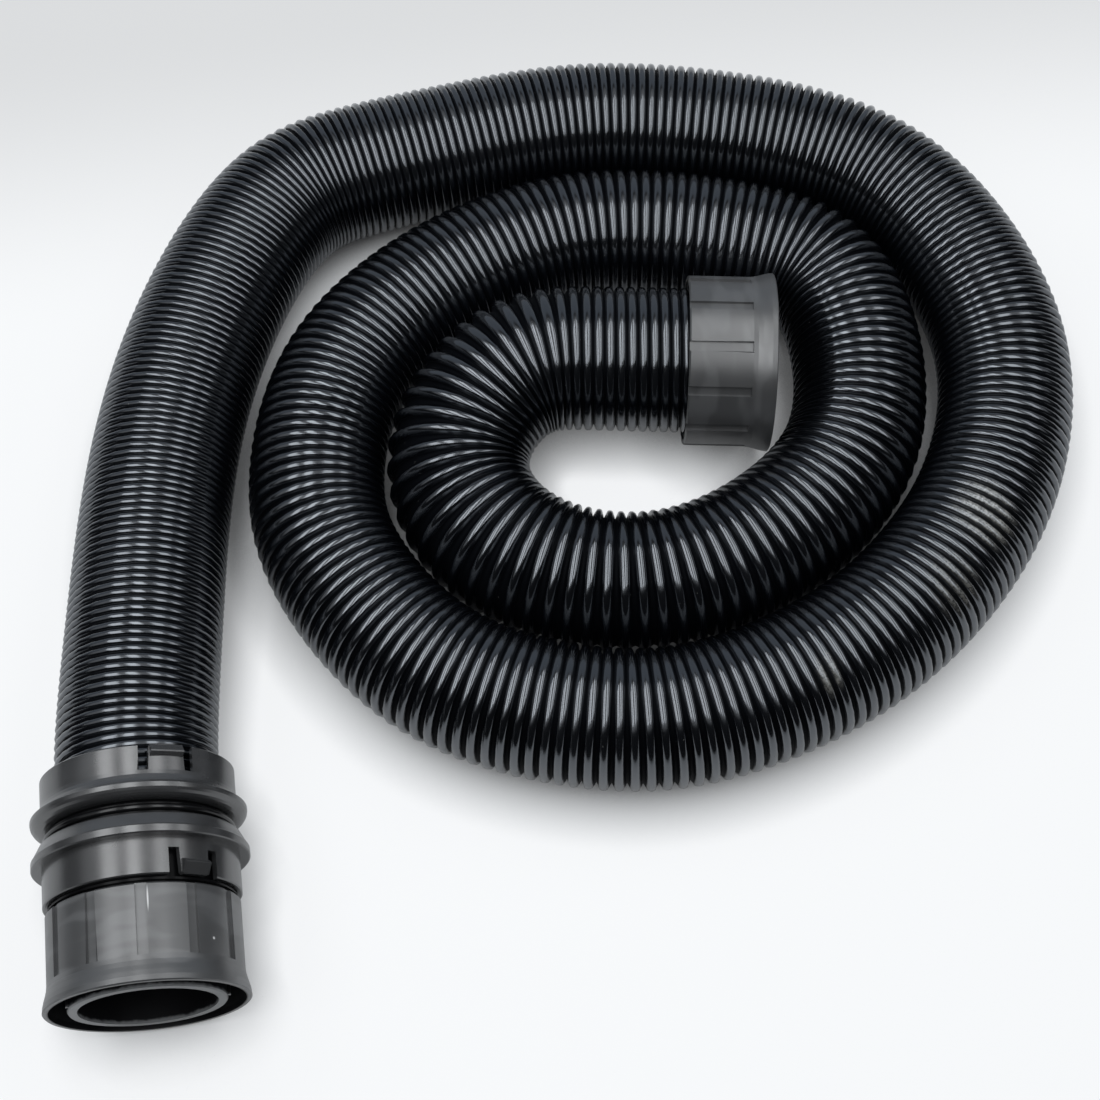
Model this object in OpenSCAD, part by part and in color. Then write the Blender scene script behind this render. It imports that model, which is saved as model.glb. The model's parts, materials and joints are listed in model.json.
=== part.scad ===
// Stretch suction hose of a household vacuum cleaner, lying in a flat inward spiral on the floor.
// One end carries a swivelling cuff and two latch collars that plug it into the machine. The other
// end carries a swivelling cuff of the same moulding for the wand.
//
// Millimetres. The origin is the middle of the machine end's mouth. +Y runs into the hose along the
// coupling's axis, +X is to the right and +Z is up. The hose lies on the plane z = floor_z.
// Lengths along a coupling are counted from its mouth. Clock angles start at the top and turn
// towards +X.

/* [Hose] */
// Outside diameter where the hose leaves the machine end
machine_od = 43.2; // [42.4:0.1:43.2]
// Outside diameter along the stretched middle
middle_od = 39.4; // [38.6:0.1:39.6]
// Outside diameter where the hose enters the wand end
wand_od = 42.4; // [41.6:0.1:42.8]
// Length over which the machine end's diameter eases to the middle's
machine_ease = 500; // [400:20:560]
// Length over which the wand end's diameter eases to the middle's
wand_ease = 260; // [200:20:320]
// Number of ribs on the hose
rib_count = 200; // [120:10:200]
// Depth of the groove between two ribs
rib_depth = 1.6; // [1:0.1:1.8]
// From the crest of a rib to the bore
hose_wall = 3.2; // [3:0.1:3.4]

/* [Cuffs] */
// Radius of the passage through both ends, a 35 mm connection
port_r = 17.5; // [17:0.1:17.8]
// Outside radius of the inner tube that a connector slides over
spigot_r = 19.9; // [19.5:0.1:20.2]
// Outside radius of the cuff's body
cuff_r = 24.75; // [24.6:0.05:24.9]
// Outside radius of the belled mouth
bell_r = 26; // [25.8:0.1:26.4]
// Length of the cuff
cuff_len = 24.9; // [24.5:0.1:25]
// Length of the belled mouth
bell_len = 6.9; // [6:0.1:7.4]
// Depth of the ring-shaped socket round the inner tube
socket_depth = 14; // [12:0.5:14]
// Number of grip channels round the cuff
channel_count = 12; // [8:1:16]
// Width of a grip channel
channel_w = 2.8; // [2.4:0.1:4]
// Depth of a grip channel
channel_depth = 0.85; // [0.5:0.05:0.9]

/* [Latch collars] */
// Outside radius of both collars' sleeves
sleeve_r = 25.3; // [25.2:0.1:25.6]
// Outside radius of both collars' flanges
flange_r = 28; // [27.4:0.1:28]
// Start of the lower collar
lower_start = 26.7; // [26.6:0.1:26.9]
// Start of the upper collar
upper_start = 46.7; // [46.6:0.1:46.9]
// End of the upper collar
upper_end = 60.8; // [60:0.1:61.5]
// Clock angle of the lower collar's latch tongues
lower_clock = 41; // [0:1:90]
// Clock angle of the upper collar's latch tongues
upper_clock = 27; // [0:1:90]
// Thickness of a latch tongue
tongue_t = 1.4; // [1.2:0.1:1.5]
// Width of the lower collar's tongues
lower_tongue_w = 7.7; // [6.5:0.1:8.5]
// Width of the upper collar's tongues
upper_tongue_w = 8.8; // [7.5:0.1:9.5]
// Height of the barb that a tongue carries
barb_h = 1.7; // [1:0.1:2]

/* [Hidden] */
$fn = 96;
eps = 0.01;

// The floor touches the flanges, so the machine end's axis lies one flange radius above it. The
// wand end lies wedged between two turns, which hold its bell a little off the floor.
floor_z = -flange_r;
machine_z = 0;
wand_lift = 3.5;
wand_z = floor_z + bell_r + wand_lift;

// The hose starts this far in from a mouth, against the shoulder of its end bush.
hose_in = 21;

// Plan of the hose's centre line on the floor, from the machine end inwards to the wand end.
route = [
    [0, 21], [0, 62], [0, 71], [4, 111], [10, 166], [28, 214], [52, 250], [77, 256],
    [106, 260], [148, 265], [189, 256], [225, 243], [250, 220], [266, 169], [253, 126],
    [231, 97], [198, 72], [151, 59], [119, 64], [79, 81], [55, 120], [52, 146], [62, 184],
    [91, 208], [118, 219], [148, 225], [195, 212], [219, 198], [219, 152], [202, 121],
    [152, 96], [103, 112], [89, 150], [115, 176], [139, 172], [169, 167]
];

// Heading of the wand end, from its mouth into the hose, turned from +Y.
wand_turn = atan2(6, 1);
wand_out = [6, -1, 0] / norm([6, -1, 0]);
hose_end = route[len(route) - 1];
wand_mouth = [hose_end.x, hose_end.y, wand_z] + hose_in * wand_out;

// Radii and lengths inside a coupling, from the hose outwards. Each turning fit has 0.3 mm or more.
cuff_bore_r = cuff_r - 1.55;
web_t = 2;
web_end = socket_depth + web_t;
nose_start = web_end + 1.3;
ring_start = nose_start + 0.7;
ring_t = 1;
bush_in_r = 21.9;
bush_out_r = cuff_bore_r - 0.4;
skirt_in_r = 21.9;
nose_r = 21.6;
sleeve_in_r = 23.35;
carrier_r = 23.05;
carrier_start = 25.4;
carrier_end = 53.8;
clip_r = 24;
clip_t = 0.6;
lower_clip_at = 25.7;
upper_clip_at = 50.5;
bead_start = 43.2;
bead_end = 45.8;
o_ring_r = 0.9;
o_ring_at = (bead_start + bead_end) / 2;
tongue_in_r = sleeve_r - tongue_t;
lower_root = 33.5;
upper_root = 54;
barb_r = sleeve_r + barb_h;

cuff_tint = [0.17, 0.17, 0.18];
inner_tint = [0.45, 0.46, 0.47];
hose_tint = [0.06, 0.065, 0.075];
rubber_tint = [0.03, 0.03, 0.03];
steel_tint = [0.6, 0.6, 0.6];

// ---- The centre line: a uniform cubic spline that starts and ends on the route's end points

guide = concat([2 * route[0] - route[1]], route, [2 * hose_end - route[len(route) - 2]]);
spans = len(route) - 1;

function blend(t) = [pow(1 - t, 3), 3 * t^3 - 6 * t^2 + 4, -3 * t^3 + 3 * t^2 + 3 * t + 1, t^3] / 6;
function on_plan(u) =
    let (i = min(floor(u), spans - 1))
    blend(u - i) * [guide[i], guide[i + 1], guide[i + 2], guide[i + 3]];

// Length run along the plan at every eighth of a span.
steps = 8 * spans;
marks = [for (k = [0:steps]) on_plan(k / 8)];
runs = [
    for (k = 0, s = 0; k <= steps; s = s + (k < steps ? norm(marks[k + 1] - marks[k]) : 0), k = k + 1) s
];
hose_len = runs[steps];
by_length = [for (k = [0:steps]) [runs[k], k / 8]];

function ease(t) = let (u = min(max(t, 0), 1)) u * u * (3 - 2 * u);
function lerp(a, b, t) = a + (b - a) * t;
function hose_od(s) =
    middle_od
    + (machine_od - middle_od) * (1 - ease(s / machine_ease))
    + (wand_od - middle_od) * (1 - ease((hose_len - s) / wand_ease));

// The hose leaves each coupling at its height and then comes down until its ribs touch the floor.
function lying_z(s) = floor_z + hose_od(s) / 2;
function height(s) =
    lying_z(s)
    + (machine_z - lying_z(s)) * (1 - ease((s - 42) / 110))
    + (wand_z - lying_z(s)) * (1 - ease((hose_len - s - 42) / 60));

function centre(s) = let (p = on_plan(lookup(s, by_length))) [p.x, p.y, height(s)];
function unit(v) = v / norm(v);
function heading(s) = unit(centre(min(s + 0.5, hose_len)) - centre(max(s - 0.5, 0)));

// An octagon round the centre line, with a corner straight down.
sides = 8;
function octagon(s, r) =
    let (c = centre(s), across = unit(cross(heading(s), [0, 0, 1])), up = cross(across, heading(s)))
    [for (k = [0:sides - 1]) c + r * (cos(k * 45) * across + sin(k * 45) * up)];

// Two triangles for each side between one ring and the next. flip turns the skin inside out.
function strip(from, to, flip = false) = [
    for (k = [0:sides - 1])
        let (a = from + k, b = from + (k + 1) % sides, c = to + (k + 1) % sides, d = to + k)
            each flip ? [[a, d, c], [a, c, b]] : [[a, c, d], [a, b, c]]
];

// Least gap of the hose to itself, on the rings' own centres and radii, more than three diameters
// apart along the hose.
ring_at = [for (k = [0:2:2 * rib_count]) hose_len * k / (2 * rib_count)];
ring_c = [for (s = ring_at) centre(s)];
ring_r = [for (s = ring_at) hose_od(s) / 2];
least_gap = min([
    for (i = [0:rib_count], j = [i + 1:1:rib_count])
        if (ring_at[j] - ring_at[i] > 125)
            norm(ring_c[i] - ring_c[j]) - ring_r[i] - ring_r[j]
]);
echo(str("length of the hose along its centre line: ", round(hose_len), " mm"));
echo(str("least gap of the hose to itself: ", round(least_gap * 100) / 100, " mm"));

// ---- Placing

// A coupling is drawn along +Z from its mouth, with local -Y up, then laid down along +Y.
module machine_end() {
    rotate([-90, 0, 0])
        children();
}

module wand_end() {
    translate(wand_mouth)
        rotate([0, 0, wand_turn])
            machine_end()
                children();
}

// Turns what is drawn along local +X to a clock angle.
module at_clock(angle) {
    rotate([0, 0, angle - 90])
        children();
}

// Extrudes an outline of [radius, length] across a coupling, centred on local X.
module across_axis(width) {
    rotate([90, 0, 0])
        linear_extrude(height = width, center = true)
            children();
}

// ---- Hose

module hose() {
    rings = 2 * rib_count + 1;
    bore_rings = rib_count / 2 + 1;
    skin = [
        for (k = [0:rings - 1])
            let (s = hose_len * k / (rings - 1))
                each octagon(s, hose_od(s) / 2 - (k % 2 == 0 ? 0 : rib_depth))
    ];
    bore = [
        for (k = [0:bore_rings - 1])
            let (s = hose_len * k / (bore_rings - 1))
                each octagon(s, hose_od(s) / 2 - hose_wall)
    ];
    first = sides * rings;
    last_skin = sides * (rings - 1);
    last_bore = first + sides * (bore_rings - 1);
    color(hose_tint)
        polyhedron(
            points = concat(skin, bore),
            faces = concat(
                [for (k = [0:rings - 2]) each strip(sides * k, sides * (k + 1))],
                [for (k = [0:bore_rings - 2]) each strip(first + sides * k, first + sides * (k + 1), true)],
                strip(0, first, true),
                strip(last_skin, last_bore)
            ),
            convexity = 20
        );
}

// ---- Cuffs, the same mouldings at both ends

// The bell is a smooth flare, with a wall of even thickness.
module cuff() {
    flare = [for (u = [0:0.2:1]) [lerp(bell_r, cuff_r, ease(u)), 0.3 + (bell_len - 0.3) * u]];
    inside = [
        for (u = [1:-0.2:0]) [lerp(bell_r - 1.4, cuff_bore_r, ease(u)), (bell_len + 0.6) * u]
    ];
    color(cuff_tint)
        difference() {
            union() {
                rotate_extrude()
                    polygon(concat(
                        [[bell_r - 0.3, 0]],
                        flare,
                        [
                            [cuff_r, cuff_len - 0.4], [cuff_r - 0.4, cuff_len],
                            [cuff_bore_r, cuff_len]
                        ],
                        inside
                    ));
                // Two centring pips inside the bell
                for (angle = [-42, 66])
                    at_clock(angle)
                        translate([bell_r - 2, -0.6, 0.3])
                            cube([1, 1.2, 3]);
            }
            // Grip channels, open towards the hose
            for (k = [0:channel_count - 1])
                at_clock(8.5 + 360 * k / channel_count)
                    translate([cuff_r - channel_depth, -channel_w / 2, bell_len])
                        cube([2, channel_w, cuff_len]);
        }
}

// Inner tube, the web that closes the socket, and a skirt that turns on the end bush.
module spigot() {
    color(inner_tint) {
        rotate_extrude()
            polygon([
                [port_r, 0], [spigot_r - 0.3, 0], [spigot_r, 0.4], [spigot_r, socket_depth],
                [cuff_bore_r, socket_depth], [cuff_bore_r, nose_start + 2.4],
                [skirt_in_r, nose_start + 2.4], [skirt_in_r, ring_start + ring_t + 0.2],
                [skirt_in_r + 0.8, ring_start + ring_t + 0.2], [skirt_in_r + 0.8, ring_start - 0.2],
                [skirt_in_r, ring_start - 0.2], [skirt_in_r, web_end], [port_r, web_end]
            ]);
        // Two ribs that centre the connector
        for (angle = [-67, 94])
            at_clock(angle)
                translate([spigot_r - 0.4, -0.6, 0.6])
                    cube([1.1, 1.2, socket_depth + 0.4]);
    }
}

// Lip seal on the web. Its lip runs 0.3 mm clear of the bush's nose.
module seal() {
    color(rubber_tint)
        rotate_extrude()
            polygon([
                [18, web_end], [21.2, web_end], [21.2, web_end + 0.5], [20.2, web_end + 1],
                [18, web_end + 1]
            ]);
}

// Threaded on to the hose's ribs: a nose for the retaining ring, a shoulder that the hose butts
// against, and a sleeve round the hose.
module end_bush(sleeve_end) {
    color(cuff_tint)
        rotate_extrude()
            polygon([
                [18.5, nose_start], [nose_r, nose_start], [nose_r, ring_start],
                [nose_r - 0.8, ring_start], [nose_r - 0.8, ring_start + ring_t],
                [nose_r, ring_start + ring_t], [nose_r, hose_in - 1], [bush_out_r, hose_in - 1],
                [bush_out_r, sleeve_end], [bush_in_r, sleeve_end], [bush_in_r, hose_in],
                [18.5, hose_in]
            ]);
}

// Split ring in the nose's groove. It stands into the skirt's wider groove and keeps the cuff on.
module retaining_ring() {
    color(steel_tint)
        difference() {
            translate([0, 0, ring_start])
                cylinder(r = skirt_in_r + 0.5, h = ring_t);
            translate([0, 0, ring_start - 1])
                cylinder(r = nose_r - 0.8, h = ring_t + 2);
            at_clock(180)
                translate([15, -2.5, ring_start - 1])
                    cube([10, 5, ring_t + 2]);
        }
}

// ---- Latch collars

// Sleeve that both collars turn on, with a bead between them and a gland for the O-ring.
module carrier() {
    bottom = o_ring_at - o_ring_r - 0.05;
    top = o_ring_at + o_ring_r + 0.05;
    color(cuff_tint)
        rotate_extrude()
            polygon([
                [bush_in_r, carrier_start], [carrier_r, carrier_start],
                [carrier_r, lower_clip_at], [carrier_r - 0.5, lower_clip_at],
                [carrier_r - 0.5, lower_clip_at + clip_t], [carrier_r - 0.5, lower_root + 0.5],
                [carrier_r, lower_root + 1.2], [carrier_r, bead_start - 1],
                [clip_r, bead_start], [clip_r, bottom], [carrier_r, bottom], [carrier_r, top],
                [clip_r, top], [clip_r, bead_end], [carrier_r, bead_end + 1],
                [carrier_r, upper_clip_at], [carrier_r - 0.5, upper_clip_at],
                [carrier_r - 0.5, upper_clip_at + clip_t], [carrier_r, upper_clip_at + clip_t],
                [carrier_r, carrier_end - 0.4], [carrier_r - 0.4, carrier_end],
                [bush_in_r, carrier_end]
            ]);
}

// Flat split clip in a groove of the carrier.
module clip(at) {
    color(steel_tint)
        difference() {
            translate([0, 0, at])
                cylinder(r = clip_r, h = clip_t);
            translate([0, 0, at - 1])
                cylinder(r = carrier_r - 0.5, h = clip_t + 2);
            at_clock(180)
                translate([15, -2, at - 1])
                    cube([15, 4, clip_t + 2]);
        }
}

module ring_seal() {
    color(rubber_tint)
        rotate_extrude()
            translate([carrier_r + o_ring_r, o_ring_at])
                circle(r = o_ring_r, $fn = 32);
}

// Outline of a tongue seen from outside: a taper from the root to the free end.
module tongue_plan(root, free, width) {
    side = free > root ? 1 : -1;
    polygon([
        [root, -width / 2 - 0.35], [root, width / 2 + 0.35], [free - side * 0.5, width / 2],
        [free, width / 2 - 0.5], [free, -width / 2 + 0.5], [free - side * 0.5, -width / 2]
    ]);
}

// A latch tongue: a strip of the sleeve, free on three sides, with a barb near its free end.
module tongue(clock, root, free, width, barb) {
    low = min(root, free);
    color(cuff_tint)
        at_clock(clock) {
            intersection() {
                translate([0, 0, low])
                    difference() {
                        cylinder(r = sleeve_r, h = abs(free - root));
                        translate([0, 0, -1])
                            cylinder(r = tongue_in_r, h = abs(free - root) + 2);
                    }
                translate([tongue_in_r - 4, 0, 0])
                    rotate([0, 90, 0])
                        rotate([0, 0, 180])
                            linear_extrude(height = 8)
                                tongue_plan(root, free, width);
            }
            across_axis(width - 0.2)
                polygon(barb);
        }
}

// Cuts the window of one tongue, with a slot on each side of it.
module tongue_window(clock, from, to, width) {
    for (side = [0, 180])
        at_clock(clock + side)
            translate([20, -width / 2, from])
                cube([10, width, to - from]);
}

lower_barb = [
    [tongue_in_r + 0.8, lower_start + 0.5], [sleeve_r + 0.1, lower_start + 0.1],
    [barb_r, lower_start + 2.6], [barb_r, lower_start + 2.9], [barb_r - 0.7, lower_start + 3.6],
    [tongue_in_r + 0.8, lower_start + 4]
];
upper_barb = [
    [tongue_in_r + 0.8, upper_end - 3.2], [sleeve_r - 0.1, upper_end - 3.2],
    [barb_r - 0.4, upper_end - 2.4], [barb_r - 0.4, upper_end - 2], [sleeve_r, upper_end - 0.1],
    [tongue_in_r + 0.8, upper_end - 0.5]
];

// Stepped flange with a conical back, and a sleeve towards the cuff.
module collar_lower() {
    shelf = lower_start + 9.9;
    back = bead_start - 0.6;
    color(cuff_tint)
        difference() {
            rotate_extrude()
                polygon([
                    [sleeve_in_r, lower_start], [sleeve_r - 0.3, lower_start],
                    [sleeve_r, lower_start + 0.3], [sleeve_r, shelf], [flange_r - 0.3, shelf],
                    [flange_r, shelf + 0.3], [flange_r, shelf + 2], [flange_r - 0.3, shelf + 2.4],
                    [26, back - 0.3], [25.7, back], [24.9, back], [24.9, back - 0.4],
                    [sleeve_in_r + 0.65, bead_start - 1.6], [sleeve_in_r, bead_start - 1.6]
                ]);
            tongue_window(lower_clock, lower_start - 1, lower_root, 13.8);
        }
}

// Ring that sweeps out of the sleeve in a hollow curve and rounds off towards the lower collar.
module collar_upper() {
    crown = upper_start + 2.6;
    sweep = [
        for (u = [0:15:90])
            [flange_r - (flange_r - sleeve_r) * cos(u), crown + 0.5 + 4.2 * (1 - sin(u))]
    ];
    front = [for (u = [0:15:90]) [24 + (flange_r - 24) * cos(u), crown - 2.6 * sin(u)]];
    color(cuff_tint)
        difference() {
            rotate_extrude()
                polygon(concat(
                    [[sleeve_in_r, upper_end], [sleeve_r - 0.3, upper_end], [sleeve_r, upper_end - 0.3]],
                    sweep,
                    front,
                    [
                        [sleeve_in_r, upper_start], [sleeve_in_r, upper_clip_at - 0.3],
                        [clip_r + 0.3, upper_clip_at - 0.3],
                        [clip_r + 0.3, upper_clip_at + clip_t + 0.3],
                        [sleeve_in_r, upper_clip_at + clip_t + 0.3]
                    ]
                ));
            tongue_window(upper_clock, upper_root, upper_end + 1, 14.2);
        }
}

// ---- Sub-parts

module machine_cuff() machine_end() cuff();
module machine_spigot() machine_end() spigot();
module machine_seal() machine_end() seal();
module machine_end_bush() machine_end() end_bush(carrier_start);
module machine_retaining_ring() machine_end() retaining_ring();
module collar_carrier() machine_end() carrier();
module lower_clip() machine_end() clip(lower_clip_at);
module upper_clip() machine_end() clip(upper_clip_at);
module o_ring() machine_end() ring_seal();
module lower_collar() machine_end() collar_lower();
module upper_collar() machine_end() collar_upper();
module lower_tongue(turn) {
    machine_end()
        tongue(lower_clock + turn, lower_root, lower_start, lower_tongue_w, lower_barb);
}
module upper_tongue(turn) {
    machine_end()
        tongue(upper_clock + turn, upper_root, upper_end, upper_tongue_w, upper_barb);
}
module lower_tongue_right() lower_tongue(0);
module lower_tongue_left() lower_tongue(180);
module upper_tongue_right() upper_tongue(0);
module upper_tongue_left() upper_tongue(180);
module wand_cuff() wand_end() cuff();
module wand_spigot() wand_end() spigot();
module wand_seal() wand_end() seal();
module wand_end_bush() wand_end() end_bush(cuff_len - 0.5);
module wand_retaining_ring() wand_end() retaining_ring();

hose();
machine_cuff();
machine_spigot();
machine_seal();
machine_end_bush();
machine_retaining_ring();
collar_carrier();
lower_clip();
upper_clip();
o_ring();
lower_collar();
upper_collar();
lower_tongue_right();
lower_tongue_left();
upper_tongue_right();
upper_tongue_left();
wand_cuff();
wand_spigot();
wand_seal();
wand_end_bush();
wand_retaining_ring();
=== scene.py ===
import json
import math

import bpy
import numpy as np
from mathutils import Matrix, Vector


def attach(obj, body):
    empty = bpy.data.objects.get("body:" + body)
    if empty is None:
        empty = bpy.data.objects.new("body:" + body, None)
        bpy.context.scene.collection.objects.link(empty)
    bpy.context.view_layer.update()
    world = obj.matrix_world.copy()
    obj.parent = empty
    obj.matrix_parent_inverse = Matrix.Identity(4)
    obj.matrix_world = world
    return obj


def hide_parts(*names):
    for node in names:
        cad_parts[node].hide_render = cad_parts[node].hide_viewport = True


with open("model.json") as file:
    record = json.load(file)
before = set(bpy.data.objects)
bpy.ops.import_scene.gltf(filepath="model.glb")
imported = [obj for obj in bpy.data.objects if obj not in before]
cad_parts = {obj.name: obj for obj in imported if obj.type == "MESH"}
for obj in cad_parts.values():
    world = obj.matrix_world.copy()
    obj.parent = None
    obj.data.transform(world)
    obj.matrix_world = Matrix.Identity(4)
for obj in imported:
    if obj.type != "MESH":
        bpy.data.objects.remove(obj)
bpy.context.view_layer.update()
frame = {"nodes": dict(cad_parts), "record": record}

MM = 0.001
FLOOR = -0.028

# ---------------------------------------------------------------- camera, fitted to the photograph
LENS = 62.84
EYE = Vector((0.08554, -0.11925, 0.48525))
RIGHT = Vector((0.99057546, -0.13696808, 0.0))
AHEAD = Vector((0.05950513, 0.43035081, -0.90069824))
cam = bpy.data.objects.new("camera", bpy.data.cameras.new("camera"))
bpy.context.scene.collection.objects.link(cam)
cam.data.lens, cam.data.sensor_width, cam.data.clip_start = LENS, 36.0, 0.01
back = -AHEAD
up = back.cross(RIGHT)
cam.matrix_world = Matrix((
    (RIGHT.x, up.x, back.x, EYE.x), (RIGHT.y, up.y, back.y, EYE.y),
    (RIGHT.z, up.z, back.z, EYE.z), (0, 0, 0, 1)))
bpy.context.scene.camera = cam
bpy.context.scene.view_settings.view_transform = "Standard"

# ---------------------------------------------------------------- the hose's line, as in part.scad
ROUTE = np.array([
    [0, 21], [0, 62], [0, 71], [4, 111], [10, 166], [28, 214], [52, 250], [77, 256], [106, 260],
    [148, 265], [189, 256], [225, 243], [250, 220], [266, 169], [253, 126], [231, 97], [198, 72],
    [151, 59], [119, 64], [79, 81], [55, 120], [52, 146], [62, 184], [91, 208], [118, 219],
    [148, 225], [195, 212], [219, 198], [219, 152], [202, 121], [152, 96], [103, 112], [89, 150],
    [115, 176], [139, 172], [169, 167],
], float) * MM
S37 = math.sqrt(37)
WAND_OUT = np.array([6 / S37, -1 / S37, 0])  # the way the wand end's mouth faces
WAND_Z = 0.0015
MOUTH_TO_HOSE = 0.021
WAND_MOUTH = np.array([ROUTE[-1, 0], ROUTE[-1, 1], WAND_Z]) + MOUTH_TO_HOSE * WAND_OUT
GUIDE = np.vstack([2 * ROUTE[0] - ROUTE[1], ROUTE, 2 * ROUTE[-1] - ROUTE[-2]])


def on_plan(u):
    """Place in plan on the B-spline round ROUTE, u running from 0 by 1 for each of its points."""
    u = np.asarray(u, float)
    i = np.minimum(np.floor(u).astype(int), len(ROUTE) - 2)
    t = (u - i)[..., None]
    b = ((1 - t) ** 3, 3 * t ** 3 - 6 * t ** 2 + 4, -3 * t ** 3 + 3 * t ** 2 + 3 * t + 1, t ** 3)
    return sum(w * GUIDE[i + k] for k, w in enumerate(b)) / 6


U = np.linspace(0, len(ROUTE) - 1, 8 * (len(ROUTE) - 1) + 1)
RUN = np.r_[0, np.cumsum(np.linalg.norm(np.diff(on_plan(U), axis=0), axis=1))]
LENGTH = RUN[-1]


def ease(t):
    t = np.clip(t, 0, 1)
    return t * t * (3 - 2 * t)


MID_OD = 0.0394
MACHINE_MORE, MACHINE_REACH = 0.0038, 0.5
WAND_MORE, WAND_REACH = 0.003, 0.26
STRAIGHT = 0.042  # how far each end runs straight out of its cuff
MACHINE_FALL, WAND_FALL = 0.11, 0.06


def hose_od(s):
    """Outside diameter, which grows towards both ends."""
    return (MID_OD + MACHINE_MORE * (1 - ease(s / MACHINE_REACH))
            + WAND_MORE * (1 - ease((LENGTH - s) / WAND_REACH)))


def centre(s):
    """Centre of the hose at length s: on the floor, and lifted to its couplings' axes at both ends."""
    s = np.asarray(s, float)
    xy = on_plan(np.interp(s, RUN, U))
    z = FLOOR + hose_od(s) / 2
    z = (z + (0 - z) * (1 - ease((s - STRAIGHT) / MACHINE_FALL))
         + (WAND_Z - z) * (1 - ease((LENGTH - s - STRAIGHT) / WAND_FALL)))
    return np.concatenate([xy, z[..., None]], -1)


NEAR = 0.0005  # half the step that the hose's heading is taken over


def frames(s):
    """Centre, the direction across and the direction up at each length along the hose."""
    c = centre(s)
    h = centre(np.minimum(s + NEAR, LENGTH)) - centre(np.maximum(s - NEAR, 0))
    h /= np.linalg.norm(h, axis=-1, keepdims=True)
    across = np.cross(h, (0, 0, 1.0))
    across /= np.linalg.norm(across, axis=-1, keepdims=True)
    return c, across, np.cross(across, h)


# Pitch of the spring wire along the hose: pushed together by the machine, pulled out in the spiral.
PITCH_AT = np.array([0, 150, 260, 350, 500, 680, 850, 950, 1050, 1150, 1230, 1290, 1316]) * MM
PITCH = np.array([2.35, 2.4, 2.6, 2.95, 2.9, 3.6, 3.2, 3.5, 3.4, 4.2, 4.5, 3.2, 3.0]) * MM
FINE = np.linspace(0, LENGTH, 6000)
TURNS_AT = np.r_[0, np.cumsum(np.diff(FINE) / np.interp((FINE[1:] + FINE[:-1]) / 2, PITCH_AT, PITCH))]
TURNS = TURNS_AT[-1]
STEPS = np.diff(on_plan(np.interp(FINE, RUN, U)), axis=0)
HEADING = np.unwrap(np.arctan2(STEPS[:, 1], STEPS[:, 0]))
BEND_STEP = 0.01


def stretch(s, theta):
    """How far a bend pulls the turns apart on its outer side, where 1 is not at all."""
    half = BEND_STEP / 2
    turned = np.interp(s + half, FINE[1:], HEADING) - np.interp(s - half, FINE[1:], HEADING)
    return np.maximum(1 + turned / BEND_STEP * hose_od(s) / 2 * np.cos(theta), 1)


def wound(name, per_turn, around, radius):
    """A skin on a helical grid: its rows follow the wire, so every rib is an unbroken screw line.
    per_turn lists the place in the pitch of each row, from 0 to 1. The attribute fold is 0 over the
    wire and 0.5 halfway between two turns, or more where a bend pulls them apart."""
    p = len(per_turn)
    rows = (int(math.ceil(TURNS)) + 2) * p
    j = np.arange(rows)
    row = np.array(per_turn)[j % p]
    phase = j // p + row
    theta = 2 * math.pi * np.arange(around) / around
    turns = np.clip(phase[:, None] - np.arange(around)[None, :] / around, 0, TURNS)
    s = np.interp(turns, TURNS_AT, FINE)
    c, across, upward = frames(s)
    r = radius(s, np.broadcast_to(row[:, None], s.shape), theta)
    v = c + r[..., None] * (np.cos(theta)[None, :, None] * across
                            + np.sin(theta)[None, :, None] * upward)
    idx = np.arange(rows * around).reshape(rows, around)
    faces = []
    for i in range(around):
        n = (i + 1) % around
        shift = p if n == 0 else 0  # once round, a row meets the one a turn further on
        f = np.stack([idx[shift:rows - 1, i], idx[shift + 1:rows, i],
                      idx[1:rows - shift, n], idx[:rows - 1 - shift, n]], 1)
        at = turns.ravel()[f]
        faces.append(f[(at > 0).any(1) & (at < TURNS).any(1)])
    faces = np.vstack(faces)
    me = bpy.data.meshes.new(name)
    me.from_pydata(v.reshape(-1, 3).tolist(), [], faces.tolist())
    uv = me.uv_layers.new(name="wound")
    loops = np.zeros(len(me.loops), int)
    me.loops.foreach_get("vertex_index", loops)
    tt = turns.ravel()[loops]
    th = np.broadcast_to(np.arange(around)[None, :] / around, turns.shape).ravel()[loops]
    uv.data.foreach_set("uv", np.stack([th, tt], 1).astype(np.float32).ravel())
    fold = np.minimum(row, 1 - row)[:, None] * stretch(s, theta)
    layer = me.attributes.new("fold", "FLOAT", "POINT")
    layer.data.foreach_set("value", fold.astype(np.float32).ravel())
    me.polygons.foreach_set("use_smooth", [True] * len(me.polygons))
    me.update()
    ob = bpy.data.objects.new(name, me)
    bpy.context.scene.collection.objects.link(ob)
    return ob


SKIN_ROWS, SKIN_AROUND = [0.0, 0.13, 0.24, 0.33, 0.5, 0.67, 0.76, 0.87], 28
BORE_ROWS, BORE_AROUND = [0.0, 0.5], 24
RIB_HALF = (0.00085, 0.00135)  # half the width of a rib where the turns are closest and furthest
RIB_SHARE = 0.36  # the part of the pitch that this half takes in between
RIB_EDGE = 0.92  # where the round rib ends and the web begins, as a part of that half
FLATNESS = 0.62
WEB_SLOPE = 2.6
FOLD_DEPTH = 0.0024
WALL = 0.0032
BORE_WAVE = 0.0004


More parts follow.
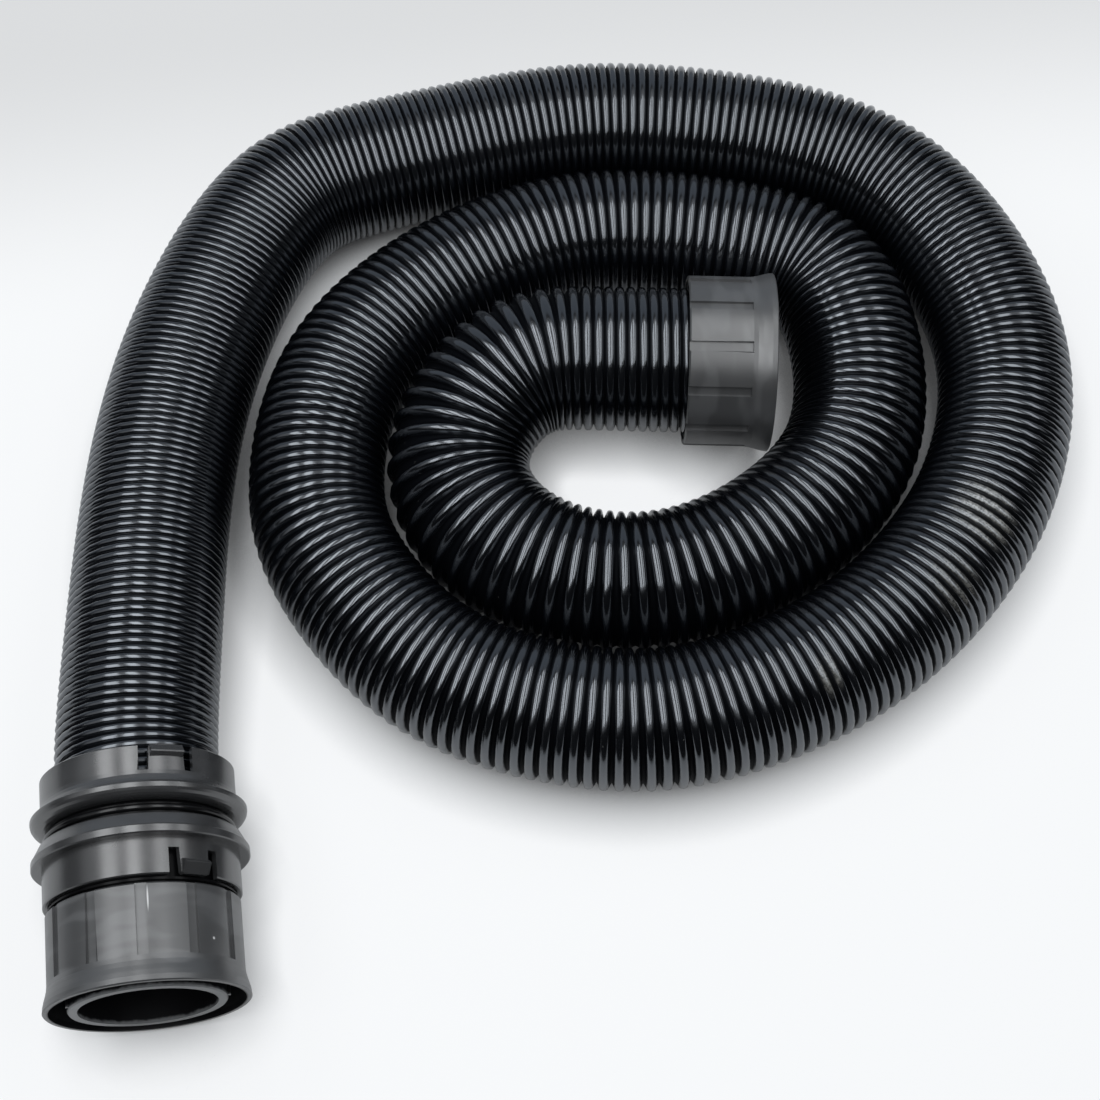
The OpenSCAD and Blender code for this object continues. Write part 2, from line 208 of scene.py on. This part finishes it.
def skin_radius(s, row, theta):
    """Low round crest over the wire, and a web folded into a deep V between two turns."""
    pitch = np.interp(s, PITCH_AT, PITCH)
    x = np.minimum(row, 1 - row) * pitch * stretch(s, theta)
    half = np.clip(RIB_SHARE * pitch, *RIB_HALF)
    edge = RIB_EDGE * half
    crest = FLATNESS * (half - np.sqrt(half ** 2 - np.minimum(x, edge) ** 2))
    fold = np.maximum(x - edge, 0) * WEB_SLOPE
    return hose_od(s) / 2 - np.minimum(crest + fold, FOLD_DEPTH)


def bore_radius(s, row, theta):
    """The bore's low waves, one for each turn of the wire."""
    return hose_od(s) / 2 - WALL + BORE_WAVE * np.where(row < 0.25, 1, -1)


# ---------------------------------------------------------------- materials
def nodes_of(name):
    """A new material, its node tree, its shader, and the point's place on the object."""
    m = bpy.data.materials.new(name)
    m.use_nodes = True
    t = m.node_tree
    return m, t, t.nodes["Principled BSDF"], t.nodes.new("ShaderNodeTexCoord").outputs["Object"]


def noise(t, vector, scale, detail=4.0, rough=0.5, streak=None):
    """Noise in object space; streak scales each axis first, which draws it out into streaks."""
    if streak:
        m = t.nodes.new("ShaderNodeMapping")
        m.inputs["Scale"].default_value = streak
        t.links.new(vector, m.inputs["Vector"])
        vector = m.outputs["Vector"]
    n = t.nodes.new("ShaderNodeTexNoise")
    n.inputs["Scale"].default_value = scale
    n.inputs["Detail"].default_value = detail
    n.inputs["Roughness"].default_value = rough
    t.links.new(vector, n.inputs["Vector"])
    return n.outputs["Fac"]


def ranged(t, value, low, high, to_low, to_high, smooth=False):
    """value taken from the span low..high to the span to_low..to_high, and held at its ends."""
    n = t.nodes.new("ShaderNodeMapRange")
    n.interpolation_type = "SMOOTHSTEP" if smooth else "LINEAR"
    for key, v in (("From Min", low), ("From Max", high), ("To Min", to_low), ("To Max", to_high)):
        n.inputs[key].default_value = v
    t.links.new(value, n.inputs["Value"])
    return n.outputs["Result"]


def over_noise(t, fac, to_low, to_high):
    """Noise's usual span taken to to_low..to_high."""
    return ranged(t, fac, 0.3, 0.7, to_low, to_high)


def math_node(t, op, a, b):
    n = t.nodes.new("ShaderNodeMath")
    n.operation = op
    for k, v in enumerate((a, b)):
        if isinstance(v, (int, float)):
            n.inputs[k].default_value = v
        else:
            t.links.new(v, n.inputs[k])
    return n.outputs["Value"]


def scaled(color, k):
    return tuple(c * k for c in color)


def mixed(t, fac, a, b):
    """Colour a where fac is 0 and b where it is 1."""
    n = t.nodes.new("ShaderNodeMix")
    n.data_type = "RGBA"
    t.links.new(fac, n.inputs["Factor"])
    for key, v in (("A", a), ("B", b)):
        if isinstance(v, tuple):
            n.inputs[key].default_value = (*v, 1)
        else:
            t.links.new(v, n.inputs[key])
    return n.outputs["Result"]


def bumped(t, bsdf, height, strength, distance):
    b = t.nodes.new("ShaderNodeBump")
    b.inputs["Strength"].default_value = strength
    b.inputs["Distance"].default_value = distance
    t.links.new(height, b.inputs["Height"])
    t.links.new(b.outputs["Normal"], bsdf.inputs["Normal"])


def patch(t, vector, at, size, edge=0.35):
    """1 inside a soft ball round a place on the object, 0 outside it. size is one radius per axis."""
    m = t.nodes.new("ShaderNodeMapping")
    m.inputs["Scale"].default_value = [1 / v for v in size]
    m.inputs["Location"].default_value = [-a / v for a, v in zip(at, size)]
    t.links.new(vector, m.inputs["Vector"])
    n = t.nodes.new("ShaderNodeVectorMath")
    n.operation = "LENGTH"
    t.links.new(m.outputs["Vector"], n.inputs[0])
    return ranged(t, n.outputs["Value"], edge, 1.0, 1.0, 0.0, True)


def axial(t, at, mouth, out):
    """Depth behind a mouth and distance from its axis."""
    n = t.nodes.new("ShaderNodeVectorMath")
    n.operation = "SUBTRACT"
    t.links.new(at, n.inputs[0])
    n.inputs[1].default_value = mouth
    d = t.nodes.new("ShaderNodeVectorMath")
    d.operation = "DOT_PRODUCT"
    t.links.new(n.outputs["Vector"], d.inputs[0])
    d.inputs[1].default_value = [-v for v in out]
    c = t.nodes.new("ShaderNodeVectorMath")
    c.operation = "CROSS_PRODUCT"
    t.links.new(n.outputs["Vector"], c.inputs[0])
    c.inputs[1].default_value = out
    r = t.nodes.new("ShaderNodeVectorMath")
    r.operation = "LENGTH"
    t.links.new(c.outputs["Vector"], r.inputs[0])
    return d.outputs["Value"], r.outputs["Value"]


BELL_LEN = 0.0075
BELL_MID = (0.0249, 0.0235)  # halfway through the cuff's wall, at its mouth and behind the bell
# Black: the inner tubes' own colour, and the painted shade within the cuffs' bells.
BLACK_AND_SHADE = (0.006, 0.006, 0.007)
GRAIN_SCALE, GRAIN_DEPTH = 2600, 0.00006


def plastic(name, color, rough, spread, grain, tint=0.10, spec=0.5, worn=0.0, streak=None,
            bell=None, nicks=()):
    """Moulded plastic: fine grain, broad patches of gloss and colour, and faint handling marks.
    bell is the mouth and the axis of a cuff; painted shade makes the cuff black within its bell, with
    little specular there."""
    m, t, bsdf, at = nodes_of(name)
    bsdf.inputs["Specular IOR Level"].default_value = spec
    bsdf.inputs["IOR"].default_value = 1.6
    broad = noise(t, at, 70, 4)
    t.links.new(over_noise(t, broad, rough - spread, rough + spread), bsdf.inputs["Roughness"])
    base = mixed(t, over_noise(t, broad, 0, 1), scaled(color, 1 - tint), scaled(color, 1 + tint))
    if worn:
        marks = ranged(t, noise(t, at, 65, 1, 0.4, streak), 0.5, 0.64, 0.0, worn, True)
        base = mixed(t, marks, base, scaled(color, 2.3))
    for place, size in nicks:
        base = mixed(t, patch(t, at, place, size), base, (0.6, 0.6, 0.6))
    if bell:
        depth, radius = axial(t, at, *bell)
        wall = ranged(t, depth, 0.0, BELL_LEN, *BELL_MID, True)
        bell_shade = ranged(t, math_node(t, "SUBTRACT", radius, wall), -0.0002, 0.0002, 1.0, 0.0)
        # Painted shade: black within the bell, with its specular cut, for the shade deep in the cuff's
        # mouth.
        base = mixed(t, bell_shade, base, BLACK_AND_SHADE)
        t.links.new(ranged(t, bell_shade, 0.0, 1.0, spec, 0.12), bsdf.inputs["Specular IOR Level"])
    t.links.new(base, bsdf.inputs["Base Color"])
    bumped(t, bsdf, noise(t, at, GRAIN_SCALE, 3), grain, GRAIN_DEPTH)
    return m


DUST_COLOUR = (0.40, 0.395, 0.365)
# Where dust lies on the hose: the middle of the spot, its radii, and how thick it is.
DUST = [
    ((0.2378, 0.1030, 0.011), (0.011, 0.013, 0.02), 0.6),
    ((0.2250, 0.0840, 0.010), (0.010, 0.012, 0.02), 0.25),
    ((0.1857, 0.0619, 0.010), (0.005, 0.007, 0.02), 0.4),
]


def hose_material(name, color, rough, dusty):
    """Glossy vinyl over the wire, rougher down in the folds, where painted shade cuts its specular,
    with dust on the crests in a few places.
    """
    m, t, bsdf, at = nodes_of(name)
    bsdf.inputs["IOR"].default_value = 1.68
    bsdf.inputs["Specular Tint"].default_value = (0.88, 0.93, 1.0, 1)
    attribute = t.nodes.new("ShaderNodeAttribute")
    attribute.attribute_name = "fold"
    fold = attribute.outputs["Fac"]
    # Painted shade: the specular level drops almost to nothing down in the folds between two turns.
    t.links.new(ranged(t, fold, 0.31, 0.42, 1.0, 0.03, True), bsdf.inputs["Specular IOR Level"])
    broad = noise(t, at, 55, 4)
    gloss = math_node(t, "ADD", over_noise(t, broad, rough - 0.03, rough + 0.04),
                      ranged(t, fold, 0.34, 0.46, 0.0, 0.45, True))
    base = mixed(t, over_noise(t, broad, 0, 1), scaled(color, 0.8), scaled(color, 1.25))
    specks = ranged(t, noise(t, at, 900, 2, 0.7), 0.74, 0.78, 0.0, 0.5, True)
    base = mixed(t, specks, base, (0.16, 0.16, 0.15))
    soil = math_node(t, "MULTIPLY",
                     ranged(t, noise(t, at, 800, 3, 0.75), 0.38, 0.62, 0.3, 1.0, True),
                     ranged(t, fold, 0.20, 0.36, 1.0, 0.04, True))
    for place, size, thickness in dusty:
        film = math_node(t, "MULTIPLY", patch(t, at, place, size),
                         math_node(t, "MULTIPLY", soil, thickness))
        base = mixed(t, film, base, DUST_COLOUR)
        gloss = math_node(t, "ADD", gloss, math_node(t, "MULTIPLY", film, 0.25))
    t.links.new(gloss, bsdf.inputs["Roughness"])
    t.links.new(base, bsdf.inputs["Base Color"])
    bumped(t, bsdf, noise(t, at, 420, 3, 0.6), 0.25, 0.0001)
    return m


def tube_plastic(name, mouth, out):
    """The inner tube: black, with a pale, glossier band painted round its rim as a reflection of the
    pale surroundings.
    """
    m, t, bsdf, at = nodes_of(name)
    depth = axial(t, at, mouth, out)[0]
    depth = math_node(t, "ADD", depth, over_noise(t, noise(t, at, 500, 4), -0.0003, 0.0003))
    # Painted reflection: the rim is paler and more specular, standing for the pale floor and walls it
    # mirrors.
    painted_rim_light = ranged(t, depth, 0.0003, 0.0012, 1.0, 0.0, True)
    base = mixed(t, painted_rim_light, BLACK_AND_SHADE, (0.17, 0.175, 0.18))
    t.links.new(base, bsdf.inputs["Base Color"])
    t.links.new(ranged(t, painted_rim_light, 0.0, 1.0, 0.15, 0.5), bsdf.inputs["Specular IOR Level"])
    t.links.new(over_noise(t, noise(t, at, 90, 3), 0.28, 0.4), bsdf.inputs["Roughness"])
    bumped(t, bsdf, noise(t, at, GRAIN_SCALE, 3), 0.2, GRAIN_DEPTH)
    return m


MACHINE_END = ((0, 0, 0), (0, -1, 0))
WAND_END = (tuple(WAND_MOUTH), tuple(WAND_OUT))
GREY = (0.048, 0.0491, 0.0508)
CUFF = {"rough": 0.36, "spread": 0.05, "grain": 0.08, "tint": 0.07}
ROUND_Y, ROUND_X = (1, 3, 1), (3, 1, 1)  # marks drawn out round a piece along Y, and one along X
# A scratch and a nick on the machine end's cuff: the middle of each and its radii.
NICKS = [
    ((0.0053, 0.0208, 0.0238), (0.0003, 0.0042, 0.0012)),
    ((0.0196, 0.0111, 0.0152), (0.0005, 0.0005, 0.0005)),
]
vinyl = hose_material("hose_vinyl", (0.0014, 0.0017, 0.0026), 0.14, DUST)
bore_vinyl = plastic("hose_bore", (0.008, 0.008, 0.009), 0.45, 0.05, 0.1)
cuff_plastic = plastic("cuff_plastic", GREY, **CUFF, spec=0.88, worn=0.55, streak=ROUND_Y,
                       bell=MACHINE_END, nicks=NICKS)
wand_plastic = plastic("cuff_plastic_wand", GREY, **CUFF, spec=0.95, worn=0.4, streak=ROUND_X,
                       bell=WAND_END)
collar_plastic = plastic("collar_plastic", (0.032, 0.0326, 0.034), rough=0.25, spread=0.03,
                         grain=0.03, tint=0.08, spec=0.95, worn=0.15, streak=ROUND_Y)
clip_plastic = plastic("clip_plastic", (0.004, 0.004, 0.0045), 0.20, 0.04, 0.1, spec=0.07)
rubber = plastic("seal_rubber", (0.005, 0.005, 0.0055), 0.16, 0.03, 0.1, spec=0.3)
steel = plastic("spring_steel", (0.42, 0.42, 0.43), 0.32, 0.06, 0.15)
steel.node_tree.nodes["Principled BSDF"].inputs["Metallic"].default_value = 1.0
machine_tube = tube_plastic("inner_plastic", *MACHINE_END)
wand_tube = tube_plastic("inner_plastic_wand", *WAND_END)
USES = {"cuff_plastic": cuff_plastic, "collar_plastic": collar_plastic, "inner_plastic": machine_tube,
        "clip_plastic": clip_plastic, "seal_rubber": rubber, "spring_steel": steel, "hose_vinyl": vinyl}
WAND_USES = {"wand_spigot": wand_tube, "wand_cuff": wand_plastic}
for part in frame["record"]["subparts"]:
    ob = frame["nodes"][part["node"]]
    for slot in ob.material_slots:
        slot.material = WAND_USES.get(part["node"], USES[part["material_slot"]])

# ---------------------------------------------------------------- hose
skin = wound("hose_skin", SKIN_ROWS, SKIN_AROUND, skin_radius)
bore = wound("hose_bore", BORE_ROWS, BORE_AROUND, bore_radius)
skin.data.materials.append(vinyl)
bore.data.materials.append(bore_vinyl)
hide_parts("hose")
for piece in (skin, bore):
    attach(piece, "hose_run")

# ---------------------------------------------------------------- floor and light
FLOOR_COLOUR, PAINTED_GAP_SHADE = (0.80, 0.805, 0.81), (0.08, 0.08, 0.085)
GAP_REACH = 0.018
GLOW_SHARE = 0.84
DIM, LID_LEVEL, WALL_LEVEL, BACKDROP = 0.02, 0.52, 0.34, 0.8
BOX_COLOUR, WALL_COLOUR = (0.95, 0.975, 1.0), (0.82, 0.92, 1.05)
LAMP_COLOUR = (0.965, 0.985, 1.0)
LAMP_Y, LAMP_Z, LAMP_LENGTH = 0.12, 0.42, 0.58
bpy.ops.mesh.primitive_plane_add(size=8, location=(0.12, 0.1, FLOOR))
floor = bpy.context.object
floor.name = "floor"
fm = bpy.data.materials.new("floor_white")
fm.use_nodes = True
ft = fm.node_tree
diffuse = ft.nodes["Principled BSDF"]
diffuse.inputs["Roughness"].default_value = 0.7
nearby = ft.nodes.new("ShaderNodeAmbientOcclusion")
nearby.inputs["Distance"].default_value = GAP_REACH
nearby.samples = 8
openness = nearby.outputs["AO"]
# Painted shade: the floor's colour darkens to near black in the narrow gaps that the hose and cuffs
# close in.
ft.links.new(mixed(ft, ranged(ft, openness, 0.05, 0.40, 0.0, 1.0), PAINTED_GAP_SHADE, FLOOR_COLOUR),
             diffuse.inputs["Base Color"])
# Whiter to the camera, with that glow dimmed towards the back as painted shade, and taken out in the
# narrow gaps under and beside the hose as painted shadow.
glow = ft.nodes.new("ShaderNodeEmission")
glow.inputs["Color"].default_value = (0.97, 0.985, 1.0, 1)
place = ft.nodes.new("ShaderNodeSeparateXYZ")
ft.links.new(ft.nodes.new("ShaderNodeNewGeometry").outputs["Position"], place.inputs[0])
ft.links.new(ranged(ft, place.outputs["Y"], 0.22, 0.34, 1.0, 0.74, True), glow.inputs["Strength"])
to_camera = ft.nodes.new("ShaderNodeLightPath").outputs["Is Camera Ray"]
share = math_node(ft, "MULTIPLY", math_node(ft, "MULTIPLY", to_camera, GLOW_SHARE),
                  math_node(ft, "POWER", openness, 2.5))
blend = ft.nodes.new("ShaderNodeMixShader")
ft.links.new(share, blend.inputs[0])
ft.links.new(diffuse.outputs[0], blend.inputs[1])
ft.links.new(glow.outputs[0], blend.inputs[2])
ft.links.new(blend.outputs[0], ft.nodes["Material Output"].inputs["Surface"])
floor.data.materials.append(fm)

# A box with a pale lid and a pale far wall, dim elsewhere, and rows of lamps under the lid.
world = bpy.data.worlds.new("world")
bpy.context.scene.world = world
world.use_nodes = True
wt = world.node_tree
background = wt.nodes["Background"]
toward = wt.nodes.new("ShaderNodeSeparateXYZ")
wt.links.new(wt.nodes.new("ShaderNodeTexCoord").outputs["Generated"], toward.inputs[0])
height = math_node(wt, "MAXIMUM", toward.outputs["Z"], 0.02)


def off_zenith(axis):
    """How far a direction leans from straight up along an axis, as a tangent."""
    return math_node(wt, "ABSOLUTE", math_node(wt, "DIVIDE", toward.outputs[axis], height), 0.0)


lid = math_node(wt, "MULTIPLY", ranged(wt, off_zenith("X"), 1.4, 2.6, 1.0, 0.0, True),
                ranged(wt, off_zenith("Y"), 0.55, 0.95, 1.0, 0.0, True))
wall = math_node(wt, "MULTIPLY", ranged(wt, toward.outputs["Z"], 0.62, 0.76, 1.0, 0.0, True),
                 ranged(wt, toward.outputs["Y"], 0.25, 0.65, 0.0, 1.0, True))
level = math_node(wt, "ADD", ranged(wt, lid, 0.0, 1.0, DIM, LID_LEVEL),
                  math_node(wt, "MULTIPLY", wall, WALL_LEVEL))
seen = wt.nodes.new("ShaderNodeLightPath").outputs["Is Camera Ray"]
level = math_node(wt, "MAXIMUM", level, math_node(wt, "MULTIPLY", seen, BACKDROP))
wt.links.new(level, background.inputs["Strength"])
wt.links.new(mixed(wt, wall, BOX_COLOUR, WALL_COLOUR), background.inputs["Color"])


def lamp_row(name, x, width, radiance):
    """A soft row of lamps under the lid, running from front to back."""
    d = bpy.data.lights.new(name, "AREA")
    d.shape, d.size, d.size_y = "RECTANGLE", width, LAMP_LENGTH
    d.color = LAMP_COLOUR
    d.energy = radiance * math.pi * width * LAMP_LENGTH
    o = bpy.data.objects.new(name, d)
    bpy.context.scene.collection.objects.link(o)
    o.location = (x, LAMP_Y, LAMP_Z)
    o.visible_camera = False


lamp_row("row_1", -0.21, 0.165, 2.8)
lamp_row("row_2", 0.010, 0.105, 3.4)
lamp_row("row_3", 0.265, 0.145, 2.4)
lamp_row("row_4", 0.59, 0.21, 1.7)
